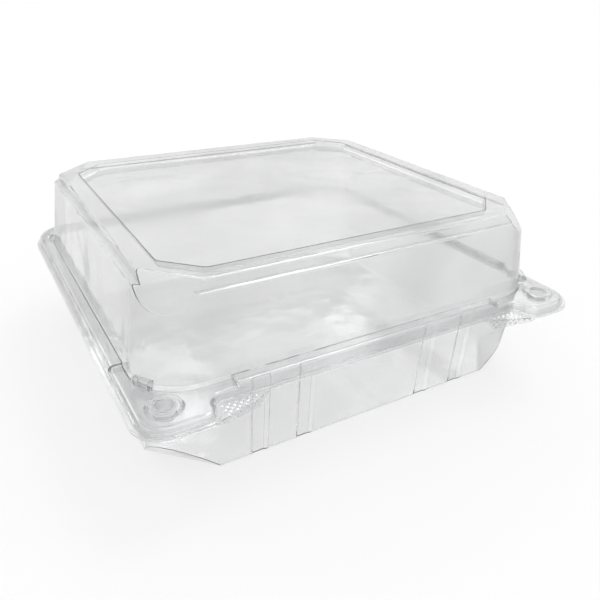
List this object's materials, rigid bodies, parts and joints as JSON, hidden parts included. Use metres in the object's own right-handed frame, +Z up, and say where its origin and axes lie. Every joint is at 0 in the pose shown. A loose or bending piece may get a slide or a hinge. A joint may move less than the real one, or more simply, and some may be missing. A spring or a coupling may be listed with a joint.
{
  "type": "plastic clamshell pack",
  "caption": "Clear hinged food pack of formed sheet: a tray and a domed lid with cut corners, folded along the back and closed by snap buttons on the front corners.",
  "frame": {"origin": "middle of the tray's flat bottom, on the table", "axes": "+X along the hinge, to the right seen from the front; -Y towards the front with the snap tabs; +Z up"},
  "size_m": [0.2342, 0.2317, 0.0918],
  "materials": {
    "tray_sheet": "clear gloss",
    "lid_sheet": "clear gloss"
  },
  "bodies": {
    "tray": {"tray": "tray_sheet"},
    "lid": {"lid": "lid_sheet"}
  },
  "joints": [
    {"name": "lid_hinge", "type": "hinge", "parent": "tray", "child": "lid", "pos_m": [0, 0.1126, 0.04415], "axis": [-1, 0, 0], "range_deg": [0, 160]}
  ]
}
